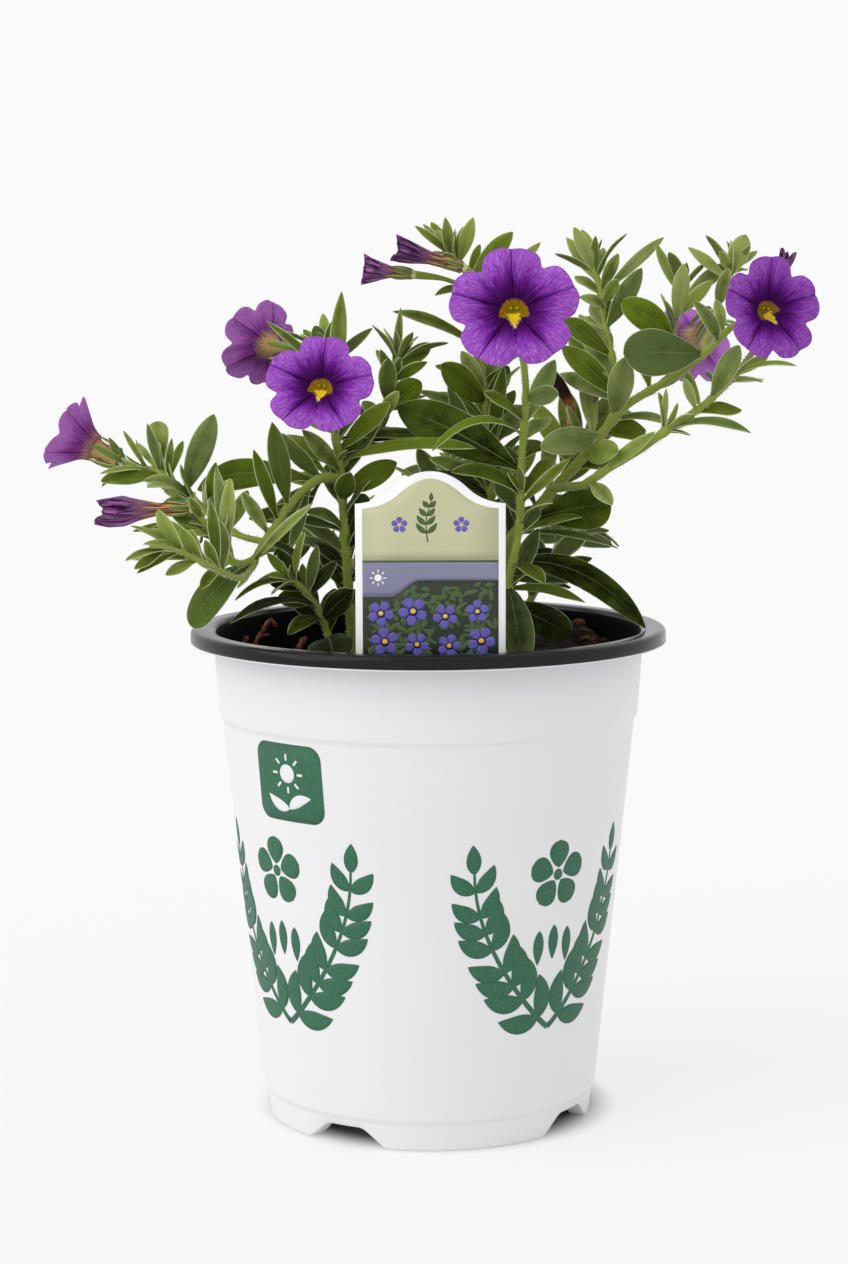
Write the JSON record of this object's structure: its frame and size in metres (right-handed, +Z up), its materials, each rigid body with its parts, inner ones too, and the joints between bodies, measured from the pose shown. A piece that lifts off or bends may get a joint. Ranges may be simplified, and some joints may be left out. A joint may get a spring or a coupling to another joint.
{
  "type": "potted calibrachoa",
  "caption": "Potted calibrachoa: violet trumpet flowers and small narrow leaves on branching stems, a plant tag with no lettering, and a round tapered nursery pot on notched feet.",
  "frame": {"origin": "middle of the pot's foot, on the surface that the pot stands on", "axes": "+Z up along the pot's axis; the front of the pot, where the plant tag stands, faces -Y; +X to the right of someone facing the front"},
  "size_m": [0.1865, 0.1432, 0.2231],
  "materials": {
    "pot_white": "satin white outer layer",
    "pot_black": "satin black rim and inner layer",
    "print_green": "printed ink",
    "soil": "moist peat and bark",
    "tag_card": "smooth printed plastic",
    "stem": "downy green stem",
    "leaf": "soft downy leaf",
    "petal": "velvety petal",
    "throat": "waxy yellow throat",
    "bud": "soft folded petal"
  },
  "bodies": {
    "root": {"pot": "pot_white", "potting_soil": "soil", "plant_tag": "tag_card", "shoot_left_main": "stem", "leaf_left_main_long": "leaf", "shoot_left_top": "stem", "shoot_centre_left": "stem", "leaf_centre_left_oval": "leaf", "shoot_left_arch": "stem", "leaf_left_arch_long": "leaf", "leaf_left_arch_tall": "leaf", "leaf_left_rim": "leaf", "shoot_left_upper": "stem", "leaf_left_upper_tall": "leaf", "leaf_left_upper_slim": "leaf", "shoot_left_flower": "stem", "shoot_left_lower": "stem", "shoot_low_left": "stem", "leaf_low_left_broad": "leaf", "shoot_front": "stem", "leaf_front_right": "leaf", "leaf_front_broad": "leaf", "leaf_front_low": "leaf", "shoot_centre_back": "stem", "leaf_centre_back_oval": "leaf", "leaf_centre_back_low": "leaf", "shoot_right_main": "stem", "leaf_right_main_pale": "leaf", "leaf_right_main_dark": "leaf", "leaf_right_rim": "leaf", "leaf_right_low_dark": "leaf", "leaf_right_low_olive": "leaf", "leaf_right_broad": "leaf", "shoot_right_upright": "stem", "leaf_right_upright_low": "leaf", "leaf_right_upright_mid": "leaf", "leaf_right_upright_tall": "leaf", "shoot_right_inner": "stem", "leaf_right_inner_dark": "leaf", "shoot_right_back": "stem", "shoot_right_tip": "stem", "shoot_right_outer": "stem", "leaf_right_outer_long": "leaf", "shoot_back_left": "stem", "leaf_back_left_broad": "leaf", "shoot_back_centre": "stem", "leaf_back_centre_broad": "leaf", "shoot_back_right": "stem", "leaf_back_right_broad": "leaf", "flower_front": "petal", "flower_left": "petal", "flower_right": "petal", "flower_left_back": "petal", "flower_far_left": "petal", "flower_right_back": "petal", "bud_left": "bud", "bud_top_left": "bud", "bud_top_dark": "bud", "bud_right": "bud"}
  },
  "joints": []
}
